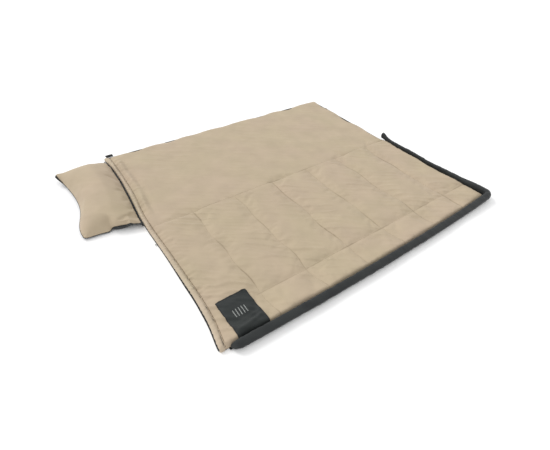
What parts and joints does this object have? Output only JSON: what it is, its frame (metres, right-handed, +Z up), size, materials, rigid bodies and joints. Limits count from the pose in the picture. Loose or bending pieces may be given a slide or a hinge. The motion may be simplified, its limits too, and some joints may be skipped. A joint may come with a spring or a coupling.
{
  "type": "camp quilt",
  "caption": "Padded rectangular camp quilt: an unzipped sleeping bag laid open flat, with attached pillow, padded draft tube, inner pocket, closure tab and zip slider.",
  "frame": {"origin": "centre of the bounding box at floor level", "axes": "+X from the head edge to the foot edge, +Y from the cover half to the base half with the pillow, +Z up"},
  "size_m": [2.2021, 1.7375, 0.0863],
  "materials": {
    "lining": "smooth brushed beige polyester, matt",
    "shell": "dark slate plain-weave polyester, faint sheen",
    "padding": "white hollow-fibre wadding",
    "webbing": "near-black ribbed tape",
    "zip_coil": "moulded dark plastic",
    "zip_metal": "aged dark bronze plating",
    "grip": "pale grey woven ribbon"
  },
  "bodies": {
    "base": {"base_shell": "shell", "base_fill": "padding", "base_lining": "lining", "base_head_hem": "lining", "base_zip_tape": "webbing", "base_zip_coil": "zip_coil", "base_zip_stop": "zip_metal", "zip_box": "zip_coil", "foot_hang_loop": "webbing", "pillow_flap": "shell"},
    "cover": {"cover_shell": "shell", "cover_fill": "padding", "cover_lining": "lining", "cover_head_hem": "lining", "cover_zip_tape": "webbing", "cover_zip_coil": "zip_coil", "cover_zip_stop": "zip_metal", "zip_pin": "zip_metal", "draft_tube_sleeve": "shell", "draft_tube_fill": "padding", "pocket": "shell", "pocket_binding": "webbing", "closure_landing_tab": "webbing", "head_hang_loop": "grip"},
    "pillow": {"pillow_top": "lining", "pillow_bottom": "shell", "pillow_fill": "padding"},
    "closure_tab": {"closure_tab": "webbing", "closure_hook_pad": "webbing"},
    "slider": {"zip_slider": "zip_metal"},
    "pull": {"zip_pull": "zip_metal", "zip_pull_grip": "grip"}
  },
  "joints": [
    {"name": "cover_fold", "type": "hinge", "parent": "base", "child": "cover", "pos_m": [0, 0.01941, 0.028], "axis": [-1, 0, 0], "range_deg": [0, 176]},
    {"name": "pillow_fold", "type": "hinge", "parent": "base", "child": "pillow", "pos_m": [-0.816, 0.42691, 0.013], "axis": [0, 1, 0], "range_deg": [0, 42]},
    {"name": "zip_slide", "type": "slide", "parent": "base", "child": "slider", "axis": [0, 1, 0], "range_m": [-0.585, 0.095]},
    {"name": "zip_pull_flip", "type": "hinge", "parent": "slider", "child": "pull", "pos_m": [1.0542, 0.68941, 0.0094], "axis": [-1, 0, 0], "range_deg": [0, 170]},
    {"name": "closure_tab_flip", "type": "hinge", "parent": "base", "child": "closure_tab", "pos_m": [-0.7755, 0.83551, 0.0276], "axis": [1, 0, 0], "range_deg": [0, 170]}
  ]
}
